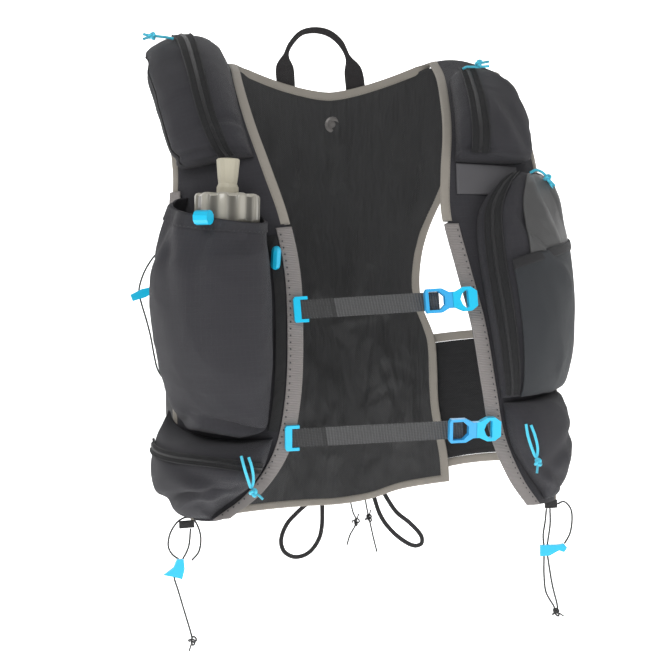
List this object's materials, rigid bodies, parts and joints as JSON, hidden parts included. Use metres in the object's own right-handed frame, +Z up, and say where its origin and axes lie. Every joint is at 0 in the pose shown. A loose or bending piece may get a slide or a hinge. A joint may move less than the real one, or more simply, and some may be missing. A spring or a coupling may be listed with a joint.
{
  "type": "running hydration vest",
  "caption": "Running hydration vest as worn, with a soft bottle in the right front pocket, zipped and stretch pockets, sliding chest straps with side-release buckles and elastic lash cords.",
  "frame": {"origin": "middle of the shoulder seat: halfway between the fronts and the back, between the shoulders, level with the top of the shoulder seams", "axes": "+Z up; the fronts face -Y; +X is the wearer's left"},
  "size_m": [0.3998, 0.3103, 0.5557],
  "materials": {
    "ripstop": "matte woven cloth with a fine grid",
    "lining": "matte fine mesh",
    "binding": "satin ribbed tape",
    "tape": "matte ribbed tape with sewn ladder",
    "zip_mesh": "matte tape with a fine coil",
    "stretch": "matte smooth knit",
    "webbing": "satin ladder weave",
    "blue_plastic": "satin moulded",
    "pale_blue_plastic": "satin moulded",
    "cap_plastic": "translucent smoke satin",
    "valve_silicone": "translucent soft matte",
    "bottle_plastic": "translucent soft gloss",
    "cord": "matte braid",
    "blue_cord": "matte braid",
    "snap_metal": "satin"
  },
  "bodies": {
    "vest": {"right_front_panel": "ripstop", "right_strap_binding": "binding", "right_daisy_tape": "tape", "right_wing": "lining", "right_wing_binding": "binding", "right_shoulder_pocket": "ripstop", "right_shoulder_zip": "zip_mesh", "right_shoulder_pull": "blue_cord", "right_lower_pocket": "ripstop", "right_lower_pull": "blue_cord", "right_corner_tab": "cord", "right_corner_cord": "cord", "right_corner_loop": "cord", "right_corner_hook": "blue_plastic", "right_axe_loop": "cord", "right_bungee_end": "cord", "left_front_panel": "ripstop", "left_strap_binding": "binding", "left_daisy_tape": "tape", "left_wing": "lining", "left_wing_binding": "binding", "left_shoulder_pocket": "ripstop", "left_shoulder_zip": "zip_mesh", "left_shoulder_pull": "blue_cord", "left_lower_pocket": "ripstop", "left_lower_pull": "blue_cord", "left_corner_tab": "cord", "left_corner_cord": "cord", "left_corner_loop": "cord", "left_corner_hook": "blue_plastic", "left_axe_loop": "cord", "left_bungee_end": "cord", "back_panel": "lining", "neck_binding": "binding", "back_hem_binding": "binding", "pack_compartment": "ripstop", "haul_loop": "webbing", "hang_snap": "snap_metal", "bottle_pocket": "ripstop", "bottle": "bottle_plastic", "mouth_cord_lock": "blue_plastic", "bottle_pocket_zip": "zip_mesh", "bottle_pocket_pull": "blue_plastic", "right_lower_zip": "zip_mesh", "left_tall_pocket": "ripstop", "left_tall_zip": "zip_mesh", "left_tall_pull": "blue_cord", "left_stretch_pocket": "stretch", "right_side_cord": "cord", "right_side_hook": "blue_plastic", "upper_chest_strap": "webbing", "upper_chest_slider": "blue_plastic", "upper_chest_buckle_male": "pale_blue_plastic", "upper_chest_buckle_female": "blue_plastic", "lower_chest_strap": "webbing", "lower_chest_slider": "blue_plastic", "lower_chest_buckle_male": "pale_blue_plastic", "lower_chest_buckle_female": "blue_plastic"},
    "bottle_cap": {"bottle_cap": "cap_plastic", "bite_valve": "valve_silicone"}
  },
  "joints": [
    {"name": "cap_turn", "type": "hinge", "parent": "vest", "child": "bottle_cap", "pos_m": [-0.1348, -0.1125, -0.126], "axis": [0.0696, 0.0746, 0.9948], "range_deg": [0, 330]}
  ]
}
